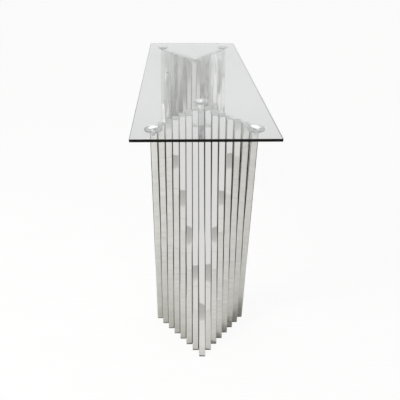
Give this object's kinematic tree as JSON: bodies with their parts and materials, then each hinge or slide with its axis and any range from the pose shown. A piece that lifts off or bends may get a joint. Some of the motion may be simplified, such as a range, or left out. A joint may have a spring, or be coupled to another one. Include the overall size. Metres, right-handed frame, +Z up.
{
  "type": "console table",
  "caption": "Console table with a clear rectangular glass top on pedestals of polished steel tubes, fanned about a level rod so that each foot and head draws a V.",
  "frame": {"origin": "on the floor, under the middle of the glass top", "axes": "+X along the table's length, +Y to its back, +Z up"},
  "size_m": [1.44, 0.4, 0.77],
  "materials": {
    "clear_glass": "clear float glass with polished green edges",
    "polished_steel": "mirror-polished stainless steel",
    "rod_steel": "plain bright steel",
    "grey_plastic": "satin moulded plastic",
    "black_plastic": "satin moulded plastic",
    "clear_plastic": "clear soft plastic, glossy"
  },
  "bodies": {
    "root": {"glass_top": "clear_glass", "left_back_cap_plate": "polished_steel", "left_back_cup": "clear_plastic", "left_back_feet": "black_plastic", "left_back_top_plugs": "grey_plastic", "left_centre_cap_plate": "polished_steel", "left_centre_cup": "clear_plastic", "left_centre_foot": "black_plastic", "left_front_cap_plate": "polished_steel", "left_front_cup": "clear_plastic", "left_front_feet": "black_plastic", "left_front_top_plugs": "grey_plastic", "left_tie_rod": "rod_steel", "left_tube_01": "polished_steel", "left_tube_02": "polished_steel", "left_tube_03": "polished_steel", "left_tube_04": "polished_steel", "left_tube_05": "polished_steel", "left_tube_06": "polished_steel", "left_tube_07": "polished_steel", "left_tube_08": "polished_steel", "left_tube_09": "polished_steel", "left_tube_10": "polished_steel", "left_tube_11": "polished_steel", "left_tube_12": "polished_steel", "left_tube_13": "polished_steel", "left_tube_14": "polished_steel", "left_tube_15": "polished_steel", "right_back_cap_plate": "polished_steel", "right_back_cup": "clear_plastic", "right_back_feet": "black_plastic", "right_back_top_plugs": "grey_plastic", "right_centre_cap_plate": "polished_steel", "right_centre_cup": "clear_plastic", "right_centre_foot": "black_plastic", "right_front_cap_plate": "polished_steel", "right_front_cup": "clear_plastic", "right_front_feet": "black_plastic", "right_front_top_plugs": "grey_plastic", "right_tie_rod": "rod_steel", "right_tube_01": "polished_steel", "right_tube_02": "polished_steel", "right_tube_03": "polished_steel", "right_tube_04": "polished_steel", "right_tube_05": "polished_steel", "right_tube_06": "polished_steel", "right_tube_07": "polished_steel", "right_tube_08": "polished_steel", "right_tube_09": "polished_steel", "right_tube_10": "polished_steel", "right_tube_11": "polished_steel", "right_tube_12": "polished_steel", "right_tube_13": "polished_steel", "right_tube_14": "polished_steel", "right_tube_15": "polished_steel"}
  },
  "joints": []
}
